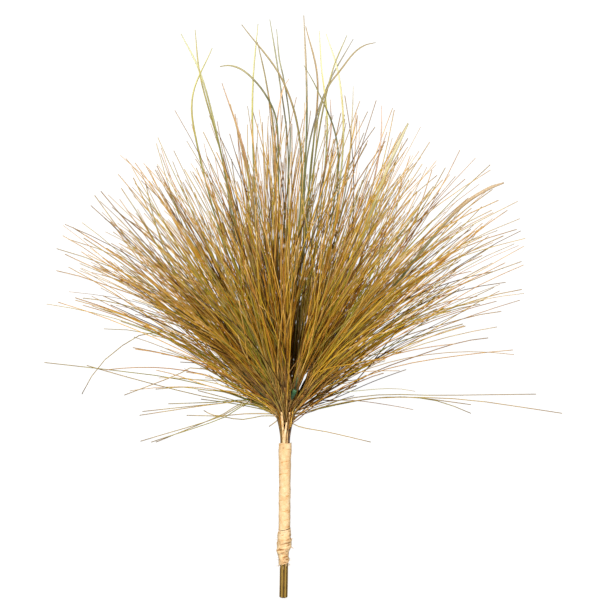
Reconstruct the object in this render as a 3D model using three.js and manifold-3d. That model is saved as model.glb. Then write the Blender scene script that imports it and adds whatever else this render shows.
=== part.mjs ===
// A bundle of fine-bladed ornamental grass, laid down on a table.
//
// Millimetres. The table is the plane Z = 0, +Y runs from the cut end of the stem to the tips,
// +X is to the right and +Z is up. A ribbed stem and seven branch stems are bound together by a
// wrapped handle. They open out at the crown, where thirty tufts of thin blades, sixteen longer
// leaves and four drooping blades spread out in a fan.
import * as THREE from 'three';
import { mergeVertices } from 'three/addons/utils/BufferGeometryUtils.js';
import Module from 'manifold-3d';

const wasm = await Module();
wasm.setup();

// ---------------------------------------------------------------- driving dimensions

const CLEARANCE = 0.3; // between neighbouring pieces

// Handle, measured down the stem from the crown
const CROWN_HEIGHT = 34; // middle of the crown above the table
const HANDLE_TURN = 0.65; // degrees that the handle is turned to the left on the table
const STEM_LENGTH = 192; // crown to the cut end
const STEM_RADIUS = 4.3; // over the ribs
const STEM_RIBS = 6;
const RIB_DEPTH = 0.6;
const STEM_END_ROUND = 1.4;
const CORE_RADIUS = 2; // the stem where the branch stems lie round it
const CORE_TOP = 8; // how far the core runs past the crown
const WRAP_TOP = 29;
const WRAP_SPLIT = 121; // where the even turns meet the gathered ones
const WRAP_BOTTOM = 157;
const WRAP_WALL = 1.3;
const WRAP_SIDES = 10;
const WRAP_PITCH = 9; // one turn of the ribbon to the next
const WRAP_RIDGE = 0.25; // how far the edge of a turn stands proud
const GATHER_WALL = 2.4; // the gathered turns are thicker

// Branch stems
const BRANCHES = 7;
const BRANCH_RADIUS = 1.4;
const BRANCH_REACH = 12; // how far from the middle of the crown they end
const BRANCH_SPLAY = 60; // degrees from the stem's own line at that end

// Tufts, measured from the middle of the crown
const STALK_START = 14;
const STALK_RADIUS = 0.9;
const SHEATH_RADIUS = 3.4;
const SHEATH_LENGTH = 15;
const SHEATH_GAP = 1; // between the closest two sheaths of a layer, for the feet of the leaves
const BLADES_PER_TUFT = 7;
const BLADE_HALF_WIDTH = 0.92;
const BLADE_FLATNESS = 0.65; // thickness as a share of a regular section
const BLADE_ROOT = 3; // how deep a blade sits in its sheath
const BLADE_REACH = 305; // crown to the tip of the longest blade
const BLADE_VARIATION = 0.3; // how much shorter the shortest one is
const BLADE_DROOP = 14; // how far a tip sags
const EDGE_SHORTENING = 0.12; // blades at the edge of the fan are shorter by this share

// The fan's layers, from the table up. spread is the outermost tuft's heading, seat the slope of
// its sheath, climb the slope that its blades leave at, and lift how far they open up and down.
const LAYERS = [
  { tufts: 9, spread: 66, seat: -17, climb: -8, lift: 2.5 },
  { tufts: 9, spread: 60, seat: 7, climb: 9, lift: 5.5 },
  { tufts: 7, spread: 52, seat: 28, climb: 26, lift: 7 },
  { tufts: 5, spread: 40, seat: 48, climb: 43, lift: 8 },
];

// Longer leaves. heading and climb say where each leaves the crown, route is where it passes and
// its tip, as across, along and height, and halfWidth is half its widest place.
const LEAF_START = 17; // middle of the crown to the foot of a leaf
const LEAF_THICKNESS = 0.4; // share of the width
const LEAVES = [
  { name: 'tall_leaf_01', heading: -32, climb: 18, halfWidth: 1.1, colour: '#c9c07a',
    route: [[-66, 271, 74], [-88, 355, 84], [-107, 393, 80]] },
  { name: 'tall_leaf_02', heading: -27, climb: 37, halfWidth: 1.1, colour: '#b8a84a',
    route: [[-88, 271, 120], [-94, 326, 128], [-74, 376, 122]] },
  { name: 'tall_leaf_03', heading: -14, climb: 37, halfWidth: 1.4, colour: '#e8b277',
    route: [[-42, 271, 130], [-64, 340, 132]] },
  { name: 'tall_leaf_04', heading: -9, climb: 18, halfWidth: 1.1, colour: '#5e5a2a',
    route: [[-7, 271, 84], [-23, 331, 92], [-67, 357, 84]] },
  { name: 'tall_leaf_05', heading: -2, climb: 37, halfWidth: 1.2, colour: '#c98a3e',
    route: [[16, 271, 140], [-2, 341, 148], [-44, 399, 136]] },
  { name: 'tall_leaf_06', heading: -20, climb: 18, halfWidth: 1.1, colour: '#cfc25a',
    route: [[-33, 271, 70], [-33, 346, 76], [-28, 404, 66]] },
  { name: 'tall_leaf_07', heading: -16, climb: -4, halfWidth: 1.0, colour: '#a98f45',
    route: [[-10, 271, 40], [-20, 346, 42], [-29, 387, 32]] },
  { name: 'tall_leaf_08', heading: -5, climb: -4, halfWidth: 1.1, colour: '#6b5426',
    route: [[3, 271, 60], [-7, 353, 62], [-16, 409, 54]] },
  { name: 'tall_leaf_09', heading: 2, climb: 18, halfWidth: 1.5, colour: '#4e4a22',
    route: [[21, 271, 88], [22, 331, 94], [19, 411, 92]] },
  { name: 'tall_leaf_10', heading: 6, climb: -4, halfWidth: 1.1, colour: '#c0974f',
    route: [[28, 271, 44], [33, 350, 44], [21, 403, 34]] },
  { name: 'tall_leaf_11', heading: 13, climb: 18, halfWidth: 1.0, colour: '#e6d675',
    route: [[43, 292, 78], [37, 360, 80], [35, 396, 72]] },
  { name: 'tall_leaf_12', heading: 24, climb: 18, halfWidth: 1.1, colour: '#f2e08a',
    route: [[59, 271, 66], [55, 350, 66], [42, 394, 58]] },
  { name: 'tall_leaf_13', heading: 17, climb: -4, halfWidth: 1.0, colour: '#9a8a6a',
    route: [[23, 271, 58], [43, 339, 62], [70, 389, 56]] },
  { name: 'tall_leaf_14', heading: 15, climb: 37, halfWidth: 1.0, colour: '#b79a55',
    route: [[29, 282, 126], [49, 343, 128], [92, 383, 112]] },
  { name: 'broad_leaf_1', heading: 35, climb: 18, halfWidth: 1.7, colour: '#efd98c',
    route: [[86, 205, 78], [107, 260, 82], [126, 301, 76]] },
  { name: 'broad_leaf_2', heading: 46, climb: 18, halfWidth: 2.2, colour: '#cfa873',
    route: [[176, 212, 90], [208, 234, 88], [224, 240, 84]] },
];

// Blades that droop past the edge of the fan onto the table
const DROOPING = [
  { name: 'drooping_blade_1', heading: 78, climb: -4, halfWidth: 1.0, colour: '#a8853c',
    route: [[88, 21, 22], [142, 18, 12], [207, 14, 4], [288, 2, 0]] },
  { name: 'drooping_blade_2', heading: 104, climb: -4, halfWidth: 1.0, colour: '#8c8258',
    route: [[70, -21, 14], [89, -27, 7]] },
  { name: 'drooping_blade_3', heading: -98, climb: -4, halfWidth: 1.0, colour: '#8a7a2e',
    route: [[-60, -3, 16], [-112, -15, 4], [-150, -27, 0]] },
  { name: 'drooping_blade_4', heading: -76, climb: -4, halfWidth: 1.0, colour: '#b08a3a',
    route: [[-112, 38, 16], [-180, 47, 5], [-251, 55, 0]] },
];

const TUFT_COLOURS = ['#b08a3a', '#c99a45', '#8a7a2e', '#7e8a35', '#9a6f2a', '#a98f45', '#7a5520'];

// ---------------------------------------------------------------- helpers

const { degToRad, seededRandom } = THREE.MathUtils;

// Unit vector that points heading degrees right of +Y and climb degrees up
function directionTo(heading, climb) {
  const level = Math.cos(degToRad(climb));
  return new THREE.Vector3(
    Math.sin(degToRad(heading)) * level,
    Math.cos(degToRad(heading)) * level,
    Math.sin(degToRad(climb)),
  );
}

function pointFrom(start, direction, distance) {
  return start.clone().addScaledVector(direction, distance);
}

function material(colour, roughness = 0.7) {
  return new THREE.MeshStandardMaterial({ color: colour, roughness, metalness: 0 });
}

function namedMesh(name, geometry, colour, roughness) {
  const mesh = new THREE.Mesh(geometry, material(colour, roughness));
  mesh.name = name;
  return mesh;
}

function toSolid(geometry) {
  const bare = geometry.clone();
  bare.deleteAttribute('normal');
  bare.deleteAttribute('uv');
  const merged = mergeVertices(bare, 1e-4);
  const mesh = new wasm.Mesh({
    numProp: 3,
    vertProperties: new Float32Array(merged.attributes.position.array),
    triVerts: new Uint32Array(merged.index.array),
  });
  return new wasm.Manifold(mesh);
}

function toGeometry(solid) {
  const mesh = solid.getMesh();
  const geometry = new THREE.BufferGeometry();
  geometry.setAttribute('position', new THREE.BufferAttribute(mesh.vertProperties, 3));
  geometry.setIndex(new THREE.BufferAttribute(mesh.triVerts, 1));
  geometry.computeVertexNormals();
  return geometry;
}

function joined(geometries) {
  const [first, ...rest] = geometries.map(toSolid);
  return toGeometry(rest.reduce((whole, next) => whole.add(next), first));
}

// A thin rod bent along a curve. It starts as a straight cylinder, or a cone when it is pointed,
// and each ring is moved onto the curve at one of the places in rings, at halfWidth there.
function bentRod({ curve, sides, rings, halfWidth, flatness = 1, pointed = true }) {
  const steps = rings.length - 1;
  const geometry = new THREE.CylinderGeometry(pointed ? 0 : 1, 1, steps, sides, steps);
  const position = geometry.attributes.position;
  const up = new THREE.Vector3(0, 0, 1);
  for (let i = 0; i < position.count; i += 1) {
    const t = rings[Math.round(position.getY(i) + steps / 2)];
    const offset = new THREE.Vector2(position.getX(i), position.getZ(i));
    const isCentre = offset.length() < 1e-6;
    if (!isCentre) offset.setLength(halfWidth(t));
    const along = curve.getTangent(t);
    const across = new THREE.Vector3().crossVectors(along, up).normalize();
    const over = new THREE.Vector3().crossVectors(across, along);
    const point = curve.getPoint(t);
    point.addScaledVector(across, offset.x).addScaledVector(over, offset.y * flatness);
    position.setXYZ(i, point.x, point.y, point.z);
  }
  geometry.computeVertexNormals();
  return geometry;
}

// ---------------------------------------------------------------- room between pieces

const grown = []; // the straight stretches of every leaf and blade so far, each with its radius

function stretches(points, radius) {
  return points.slice(1).map((end, i) => ({ line: new THREE.Line3(points[i], end), radius }));
}

// The same for a rod whose width changes along it
function rodStretches(curve, rings, halfWidth) {
  const points = rings.map((t) => curve.getPoint(t));
  return points.slice(1).map((end, i) => ({
    line: new THREE.Line3(points[i], end),
    radius: Math.max(halfWidth(rings[i]), halfWidth(rings[i + 1])),
  }));
}

function areApart(a, b) {
  const room = a.radius + b.radius + CLEARANCE;
  return a.line.distanceSqToLine3(b.line) > room * room;
}

function isClear(pieces, others) {
  return pieces.every((piece) => others.every((other) => areApart(piece, other)));
}

// ---------------------------------------------------------------- handle

// Round section with shallow ribs running the length of the stem
function ribbedOutline() {
  const points = [];
  const count = STEM_RIBS * 3;
  for (let i = 0; i < count; i += 1) {
    const angle = (i / count) * 2 * Math.PI;
    const radius = STEM_RADIUS - (RIB_DEPTH * (1 - Math.cos(STEM_RIBS * angle))) / 2;
    points.push(new THREE.Vector2(radius * Math.cos(angle), radius * Math.sin(angle)));
  }
  return new THREE.Shape(points);
}

const SHOULDER = WRAP_SPLIT - 2.4; // where the rod ends and the bare core goes on

function mainStem() {
  const length = STEM_LENGTH - SHOULDER;
  const rod = new THREE.ExtrudeGeometry(ribbedOutline(), {
    depth: length - 2 * STEM_END_ROUND,
    bevelThickness: STEM_END_ROUND,
    bevelSize: STEM_END_ROUND,
    bevelOffset: -STEM_END_ROUND,
    bevelSegments: 1,
  });
  rod.rotateX(-Math.PI / 2).translate(0, STEM_END_ROUND - STEM_LENGTH, 0);
  const coreLength = SHOULDER + CORE_TOP + 2 * STEM_END_ROUND;
  const core = new THREE.CylinderGeometry(CORE_RADIUS, CORE_RADIUS, coreLength, 8);
  core.translate(0, CORE_TOP - coreLength / 2, 0);
  return namedMesh('main_stem', joined([rod, core]), '#8f6c34', 0.55);
}

const BRANCH_RING = CORE_RADIUS + CLEARANCE + BRANCH_RADIUS; // branch stems round the core
const WRAP_BORE = BRANCH_RING + BRANCH_RADIUS + CLEARANCE;

// Even turns of ribbon: a sleeve whose outside steps out a little at the edge of each turn
function handleWrap() {
  const outside = WRAP_BORE + WRAP_WALL;
  const top = -WRAP_TOP;
  const bottom = CLEARANCE - WRAP_SPLIT;
  const turns = Math.max(2, Math.round((top - bottom) / WRAP_PITCH));
  const profile = [new THREE.Vector2(WRAP_BORE, bottom)];
  for (let i = 0; i <= turns; i += 1) {
    const y = THREE.MathUtils.lerp(bottom, top, i / turns);
    profile.push(new THREE.Vector2(outside + (i % 2) * WRAP_RIDGE, y));
  }
  profile.push(new THREE.Vector2(WRAP_BORE, top), profile[0].clone());
  return namedMesh('handle_wrap', new THREE.LatheGeometry(profile, WRAP_SIDES), '#f3cf95', 0.85);
}

// The gathered turns at the lower end, lumpy outside and drawn in onto the rod
function wrapEnd() {
  const bore = STEM_RADIUS + CLEARANCE;
  const outside = bore + GATHER_WALL;
  const length = WRAP_BOTTOM - WRAP_SPLIT;
  const profile = [
    [bore, 0], [bore + 0.9, 0], [outside - 0.6, 0.1], [outside, 0.24], [outside - 0.5, 0.42],
    [outside + 0.3, 0.56], [outside - 0.2, 0.72], [outside + 0.3, 0.92], [outside, 1], [bore, 1],
    [bore, 0],
  ].map(([radius, share]) => new THREE.Vector2(radius, share * length - WRAP_BOTTOM));
  return namedMesh('wrap_end', new THREE.LatheGeometry(profile, WRAP_SIDES), '#eec088', 0.85);
}

// Straight beside the core inside the wrap, then opening out to the crown
class BranchPath extends THREE.Curve {
  constructor(turn) {
    super();
    this.turn = turn;
  }

  getPoint(t, target = new THREE.Vector3()) {
    const splay = degToRad(BRANCH_SPLAY);
    const bottom = CLEARANCE - SHOULDER;
    const top = BRANCH_REACH * Math.cos(splay);
    const y = THREE.MathUtils.lerp(bottom, top, t);
    const opened = Math.max(0, (y + WRAP_TOP) / (top + WRAP_TOP));
    const outwards = BRANCH_REACH * Math.sin(splay) - BRANCH_RING;
    const radius = BRANCH_RING + outwards * opened ** 1.7;
    return target.set(radius * Math.cos(this.turn), y, radius * Math.sin(this.turn));
  }
}

function branchStem(index) {
  const turn = ((index + 0.25) / BRANCHES) * 2 * Math.PI;
  const geometry = bentRod({
    curve: new BranchPath(turn),
    sides: 5,
    rings: [0, 0.72, 0.84, 0.93, 1],
    halfWidth: () => BRANCH_RADIUS,
    pointed: false,
  });
  const colours = ['#c9a066', '#6b4a22', '#4a2e14', '#a97f45', '#7a4a22', '#b8915a', '#5e4a22'];
  return namedMesh(`branch_stem_${index + 1}`, geometry, colours[index % colours.length], 0.6);
}

// The handle slopes down from the crown until the end of the stem touches the table
const contact = STEM_LENGTH - STEM_END_ROUND;
const slope = Math.asin(CROWN_HEIGHT / Math.hypot(contact, STEM_RADIUS))
  - Math.atan2(STEM_RADIUS, contact);

const handle = new THREE.Group();
handle.position.set(0, 0, CROWN_HEIGHT);
handle.rotation.set(slope, 0, degToRad(-HANDLE_TURN), 'ZXY');
handle.add(mainStem(), handleWrap(), wrapEnd());
for (let i = 0; i < BRANCHES; i += 1) handle.add(branchStem(i));

// ---------------------------------------------------------------- crown

const crown = new THREE.Vector3(0, 0, CROWN_HEIGHT);

// Every tuft of the fan: the way it points, and how far it opens sideways and up and down
function planTufts() {
  return LAYERS.flatMap((layer) => {
    const step = (2 * layer.spread) / (layer.tufts - 1);
    return Array.from({ length: layer.tufts }, (_, i) => ({
      heading: -layer.spread + i * step,
      seat: layer.seat,
      climb: layer.climb,
      opening: step / 2 - 0.6,
      lift: layer.lift,
    }));
  });
}

// The sheaths stand as far out as the gap between the closest two needs
const tightest = Math.min(...LAYERS.map(({ tufts, spread }) => (2 * spread) / (tufts - 1)));
const SHEATH_START = (SHEATH_RADIUS + SHEATH_GAP / 2) / Math.sin(degToRad(tightest / 2));
const SHEATH_END = SHEATH_START + SHEATH_LENGTH;

function sheathStretches(tuft) {
  const outwards = directionTo(tuft.heading, tuft.seat);
  const at = (distance) => pointFrom(crown, outwards, distance);
  return [
    ...stretches([at(STALK_START), at(SHEATH_START)], STALK_RADIUS),
    ...stretches([at(SHEATH_START), at(SHEATH_END)], SHEATH_RADIUS),
  ];
}

const tufts = planTufts();
const sheaths = tufts.map(sheathStretches);

// Thin stalk that widens to the cup holding the blades
function sheath(tuft) {
  const profile = [
    [0, STALK_START], [STALK_RADIUS, STALK_START], [STALK_RADIUS, SHEATH_START],
    [SHEATH_RADIUS * 0.8, SHEATH_START + SHEATH_LENGTH / 3], [SHEATH_RADIUS, SHEATH_END], [0, SHEATH_END],
  ].map(([radius, distance]) => new THREE.Vector2(radius, distance));
  const geometry = new THREE.LatheGeometry(profile, 6);
  const outwards = directionTo(tuft.heading, tuft.seat);
  const turn = new THREE.Quaternion().setFromUnitVectors(new THREE.Vector3(0, 1, 0), outwards);
  return geometry.applyQuaternion(turn).translate(crown.x, crown.y, crown.z);
}

// ---------------------------------------------------------------- leaves

// Narrow at the base, then even, then drawn to a point at the tip
function leafWidth(halfWidth) {
  return (t) => halfWidth * Math.min(1, 0.45 + 2 * t, 0.25 + 4 * (1 - t));
}

function leafCurve({ heading, climb, route, halfWidth }, aside) {
  const turned = directionTo(heading + aside.x, climb + aside.y);
  const base = [LEAF_START, SHEATH_END + 6].map((distance) => pointFrom(crown, turned, distance));
  const lowest = halfWidth * LEAF_THICKNESS;
  const passed = route.map(([x, y, z]) => new THREE.Vector3(x, y, Math.max(z, lowest)));
  return new THREE.CatmullRomCurve3([...base, ...passed]);
}

const GOLDEN_ANGLE = Math.PI * (3 - Math.sqrt(5));
const LEAF_RINGS = [0, 0.1, 0.25, 0.42, 0.58, 0.75, 0.88, 1];

// Steps outwards round the wanted heading until the leaf has room
function leaf(plan) {
  const halfWidth = leafWidth(plan.halfWidth);
  for (let attempt = 0; attempt < 400; attempt += 1) {
    const away = 0.35 * Math.sqrt(attempt);
    const aside = new THREE.Vector2(away, 0).rotateAround(new THREE.Vector2(), attempt * GOLDEN_ANGLE);
    const curve = leafCurve(plan, aside);
    const pieces = rodStretches(curve, LEAF_RINGS, halfWidth);
    if (isClear(pieces, grown) && isClear(pieces, sheaths.flat())) {
      grown.push(...pieces);
      const geometry = bentRod({
        curve, sides: 3, rings: LEAF_RINGS, halfWidth, flatness: LEAF_THICKNESS,
      });
      return namedMesh(plan.name, geometry, plan.colour, 0.6);
    }
  }
  throw new Error(`${plan.name} found no room`);
}

// ---------------------------------------------------------------- blades

const BLADE_RINGS = [0, 0.55, 1];
const TRIES = 60; // places looked at for each blade
const bladeLowest = BLADE_HALF_WIDTH * BLADE_FLATNESS * 0.5; // underside flat on the table

function bladeWidth(t) {
  return BLADE_HALF_WIDTH * Math.min(1, 0.8 + t);
}

function bladeCurve(tuft, spot, length) {
  const seat = directionTo(tuft.heading, tuft.seat);
  const right = new THREE.Vector3().crossVectors(seat, new THREE.Vector3(0, 0, 1)).normalize();
  const above = new THREE.Vector3().crossVectors(right, seat);
  const inside = SHEATH_RADIUS - BLADE_HALF_WIDTH - CLEARANCE;
  const root = pointFrom(crown, seat, SHEATH_END - BLADE_ROOT);
  root.addScaledVector(right, spot.x * inside).addScaledVector(above, spot.y * inside);
  const outwards = directionTo(
    tuft.heading + spot.x * tuft.opening,
    tuft.climb + spot.y * tuft.lift,
  );
  const middle = pointFrom(root, outwards, length / 2);
  const tip = pointFrom(root, outwards, length);
  tip.z -= BLADE_DROOP;
  middle.z = Math.max(middle.z, bladeLowest);
  tip.z = Math.max(tip.z, bladeLowest);
  return new THREE.QuadraticBezierCurve3(root, middle, tip);
}

// The blades stand in a sunflower pattern in the sheath, and each looks for a clear way out
function tuftBlades(tuft, tuftIndex) {
  const others = sheaths.filter((_, i) => i !== tuftIndex).flat();
  const edge = 1 - EDGE_SHORTENING * (tuft.heading / 60) ** 2;
  const own = [];
  const curves = [];
  for (let i = 0; i < BLADES_PER_TUFT; i += 1) {
    const share = 1 - BLADE_VARIATION * seededRandom(1000 * tuftIndex + i);
    const length = BLADE_REACH * edge * share - SHEATH_END;
    for (let attempt = 0; attempt < TRIES; attempt += 1) {
      const away = Math.sqrt((i + 0.5) / BLADES_PER_TUFT) * (1 - (0.4 * attempt) / TRIES);
      const turn = i * GOLDEN_ANGLE + tuftIndex + 0.13 * attempt;
      const spot = new THREE.Vector2(away, 0).rotateAround(new THREE.Vector2(), turn);
      const curve = bladeCurve(tuft, spot, length);
      const pieces = rodStretches(curve, BLADE_RINGS, bladeWidth);
      const free = pieces.slice(1);
      if (isClear(pieces, grown) && isClear(pieces, others) && isClear(free, own)) {
        own.push(...free);
        curves.push(curve);
        break;
      }
    }
  }
  grown.push(...own);
  for (const curve of curves) grown.push(rodStretches(curve, BLADE_RINGS, bladeWidth)[0]);
  return curves;
}

function tuftMesh(tuft, index) {
  const blades = tuftBlades(tuft, index).map((curve) => bentRod({
    curve, sides: 3, rings: BLADE_RINGS, halfWidth: bladeWidth, flatness: BLADE_FLATNESS,
  }));
  const name = `tuft_${String(index + 1).padStart(2, '0')}`;
  const colour = TUFT_COLOURS[Math.floor(seededRandom(77 + index) * TUFT_COLOURS.length)];
  return namedMesh(name, joined([sheath(tuft), ...blades]), colour, 0.7);
}

// ---------------------------------------------------------------- the bundle

const head = new THREE.Group();
head.add(...LEAVES.map(leaf), ...DROOPING.map(leaf), ...tufts.map(tuftMesh));

// The origin is the middle of the footprint, on the table
const bundle = new THREE.Group();
bundle.name = 'grass_bundle';
bundle.add(handle, head);
bundle.updateMatrixWorld(true);
const extent = new THREE.Box3().setFromObject(bundle, true);
const middle = extent.getCenter(new THREE.Vector3());
bundle.position.set(-middle.x, -middle.y, -extent.min.z);

export default bundle;
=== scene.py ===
import math
import random

import bmesh
import bpy
from mathutils import Matrix, Vector, noise


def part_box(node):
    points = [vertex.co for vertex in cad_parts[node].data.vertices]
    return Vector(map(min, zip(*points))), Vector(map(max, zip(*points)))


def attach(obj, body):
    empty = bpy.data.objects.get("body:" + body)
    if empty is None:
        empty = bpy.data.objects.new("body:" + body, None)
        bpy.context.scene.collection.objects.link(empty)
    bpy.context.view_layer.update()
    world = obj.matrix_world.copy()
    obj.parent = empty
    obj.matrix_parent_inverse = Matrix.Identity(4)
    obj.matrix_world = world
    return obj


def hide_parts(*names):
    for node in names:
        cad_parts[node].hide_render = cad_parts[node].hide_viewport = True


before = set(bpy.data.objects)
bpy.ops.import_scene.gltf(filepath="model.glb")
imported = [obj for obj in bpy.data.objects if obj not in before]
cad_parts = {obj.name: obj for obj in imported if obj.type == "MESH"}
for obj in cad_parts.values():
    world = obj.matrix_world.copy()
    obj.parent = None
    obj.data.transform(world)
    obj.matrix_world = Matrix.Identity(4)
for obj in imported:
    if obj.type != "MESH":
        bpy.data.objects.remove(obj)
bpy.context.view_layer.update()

# ---------------------------------------------------------------- main stem
# The stem is a wire core in a moulded PVC covering. The mould leaves shallow lengthwise ribs,
# tan on their crests, with painted shade making them dark brown in the grooves, and the lower end
# is rounded over. Its upper part is thinner and bound in among the branch stems.
MM = 0.001
STEM_LENGTH = 192 * MM  # from the cut end to the crown, where everything opens out
STEM_RADIUS = 4.3 * MM
STEM_END_ROUND = 1.4 * MM
STEM_RIBS = 6
SIDES_PER_RIB = 12
RIB_DEPTH = 0.75 * MM
RIB_NARROWNESS = 0.7  # below 1, the crests are narrower than the grooves
END_RINGS = (0, 0.3, 0.8, 1.4, 4)  # mm up from the cut end, closer where it is rounded over
RIBBED_RINGS = 18
STEM_WANDER = 0.18 * MM
CORE_RADIUS = 2 * MM
CORE_TOP = 8 * MM
CORE_TIP = 0.6  # how far the core narrows over its last millimetre
SHOULDER = 118.6 * MM  # from the crown down to where the ribbed covering ends
CROWN_HEIGHT = 34 * MM
HANDLE_TURN = math.radians(0.65)  # it lies turned a little to the left

# The bundle lies on a table. The crown stands clear of it, and the handle slopes down until the
# cut end of the stem touches. Every piece is placed from the crown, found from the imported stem.
contact = STEM_LENGTH - STEM_END_ROUND
slope = math.asin(CROWN_HEIGHT / math.hypot(contact, STEM_RADIUS))
slope -= math.atan2(STEM_RADIUS, contact)
stem_low, stem_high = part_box("main_stem")
cut_end = STEM_LENGTH * math.cos(slope) + (STEM_RADIUS - STEM_END_ROUND) * math.sin(slope)
crown = Vector((
    stem_low[0] + STEM_RADIUS + (cut_end - STEM_END_ROUND) * math.sin(HANDLE_TURN),
    stem_low[1] + cut_end * math.cos(HANDLE_TURN),
    CROWN_HEIGHT,
))
# In the handle's own frame +Y runs up the stem and the crown is the origin
turned = Matrix.Rotation(-HANDLE_TURN, 4, "Z") @ Matrix.Rotation(slope, 4, "X")
handle_place = Matrix.Translation(crown) @ turned
Z_TO_Y = Matrix.Rotation(math.radians(-90), 4, "X")


def linear_colour(hex_value):
    """sRGB hex to the linear RGBA that shader sockets take."""
    channels = [int(hex_value[i:i + 2], 16) / 255 for i in (1, 3, 5)]
    linear = [c / 12.92 if c <= 0.04045 else ((c + 0.055) / 1.055) ** 2.4 for c in channels]
    return (*linear, 1.0)


def new_material(name):
    """A material with an empty node tree but for its Principled shader, and that shader."""
    material = bpy.data.materials.new(name)
    material.use_nodes = True
    return material, material.node_tree.nodes["Principled BSDF"]


def add_node(material, kind, settings=None, **inputs):
    """Adds a node. Inputs are values or (node, output name) links, named with _ for a space."""
    tree = material.node_tree
    node = tree.nodes.new(kind)
    for name, value in (settings or {}).items():
        setattr(node, name, value)
    connect(material, node, **inputs)
    return node


def connect(material, node, **inputs):
    """Sets or links a node's inputs. i0, i1 and so on name them by number."""
    for name, value in inputs.items():
        numbered = name[0] == "i" and name[1:].isdigit()
        key = int(name[1:]) if numbered else name.replace("_", " ")
        socket = node.inputs[key]
        if isinstance(value, tuple) and isinstance(value[0], bpy.types.Node):
            material.node_tree.links.new(value[0].outputs[value[1]], socket)
        else:
            socket.default_value = value


def spaced(millimetres):
    """The noise scale that puts a pattern's blotches about that far apart."""
    return 1 / (millimetres * MM)


def set_ramp(node, stops):
    """Gives a colour ramp its stops, as (position, hex colour)."""
    ramp = node.color_ramp
    while len(ramp.elements) > 1:
        ramp.elements.remove(ramp.elements[-1])
    ramp.elements[0].position = stops[0][0]
    ramp.elements[0].color = linear_colour(stops[0][1])
    for position, colour in stops[1:]:
        ramp.elements.new(position).color = linear_colour(colour)


def make_piece(name, bm, materials, replaced=()):
    """Turns a bmesh into a piece of the bundle that stands for the CAD nodes in replaced."""
    mesh = bpy.data.meshes.new(name)
    for face in bm.faces:
        face.smooth = True
    bm.to_mesh(mesh)
    bm.free()
    for material in materials:
        mesh.materials.append(material)
    piece = bpy.data.objects.new(name, mesh)
    bpy.context.scene.collection.objects.link(piece)
    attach(piece, "root")
    if replaced:
        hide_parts(*replaced)
    return piece


def ribbed_stem():
    """Rings stacked from the cut end up, each one pressed in between the ribs."""
    bm = bmesh.new()
    groove = bm.verts.layers.float.new("groove")
    sides = STEM_RIBS * SIDES_PER_RIB
    ring = bmesh.ops.create_circle(bm, segments=sides, radius=1)["verts"]
    edges = list({edge for vert in ring for edge in vert.link_edges})
    bmesh.ops.contextual_create(bm, geom=edges)
    rib_end = STEM_LENGTH - SHOULDER
    heights = [height * MM for height in END_RINGS]
    ribbed = rib_end - heights[-1]
    heights += [heights[-1] + ribbed * i / RIBBED_RINGS for i in range(1, RIBBED_RINGS + 1)]
    heights += [rib_end + 1.5 * MM, STEM_LENGTH + CORE_TOP - 1 * MM, STEM_LENGTH + CORE_TOP]
    for i, height in enumerate(heights):
        if i:
            made = bmesh.ops.extrude_edge_only(bm, edges=edges)["geom"]
            ring = [item for item in made if isinstance(item, bmesh.types.BMVert)]
            edges = [item for item in made if isinstance(item, bmesh.types.BMEdge)]
        inset = STEM_END_ROUND * (1 - math.sqrt(1 - max(0, 1 - height / STEM_END_ROUND) ** 2))
        radius = STEM_RADIUS - inset if height <= rib_end else CORE_RADIUS
        if i == len(heights) - 1:
            radius = CORE_RADIUS * CORE_TIP
        wander = STEM_WANDER * math.sin(height * 55)
        for vert in ring:
            turn = math.atan2(vert.co.y, vert.co.x)
            dip = (0.5 - 0.5 * math.cos(STEM_RIBS * turn)) ** RIB_NARROWNESS
            depth = RIB_DEPTH if height <= rib_end else 0
            r = radius - depth * dip
            vert.co = (r * math.cos(turn) + wander, r * math.sin(turn), height - STEM_LENGTH)
            vert[groove] = dip
    bmesh.ops.contextual_create(bm, geom=edges)
    bmesh.ops.recalc_face_normals(bm, faces=bm.faces)
    bmesh.ops.transform(bm, matrix=handle_place @ Z_TO_Y, verts=bm.verts)
    return bm


# Moulded PVC, hand-tinted tan, satin all over, with painted shade darkening it in the grooves.
# The tint is blotched every 6 mm. The mould's own grain is drawn 1 mm wide, so that it shows.
stem_pvc, shader = new_material("tinted_moulded_pvc_groove_shade")
place = add_node(stem_pvc, "ShaderNodeTexCoord")
groove_shade_mask = add_node(stem_pvc, "ShaderNodeAttribute", {"attribute_name": "groove"})
mottle = add_node(stem_pvc, "ShaderNodeTexNoise",
                  Vector=(place, "Object"), Scale=spaced(6.25), Detail=4)
shift = add_node(stem_pvc, "ShaderNodeMath", {"operation": "MULTIPLY_ADD"},
                 i0=(mottle, "Fac"), i1=0.5, i2=-0.25)
# Painted shade: the deeper a point lies in a groove, the darker its colour, on top of the blotches
tint_and_groove_shade = add_node(stem_pvc, "ShaderNodeMath", {"operation": "ADD"},
                i0=(groove_shade_mask, "Fac"), i1=(shift, 0))
ramp = add_node(stem_pvc, "ShaderNodeValToRGB", Fac=(tint_and_groove_shade, 0))
set_ramp(ramp, [(0, "#957937"), (0.4, "#806326"), (0.75, "#634816"), (1, "#3E2D08")])
fine = add_node(stem_pvc, "ShaderNodeTexNoise",
                Vector=(place, "Object"), Scale=spaced(1.111), Detail=2)
bump = add_node(stem_pvc, "ShaderNodeBump", Height=(fine, "Fac"), Strength=0.25, Distance=0.0002)
connect(stem_pvc, shader, Base_Color=(ramp, "Color"), Normal=(bump, "Normal"), Roughness=0.6,
        Specular_IOR_Level=0.2)

make_piece("ribbed_stem", ribbed_stem(), [stem_pvc], ["main_stem"])

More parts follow.
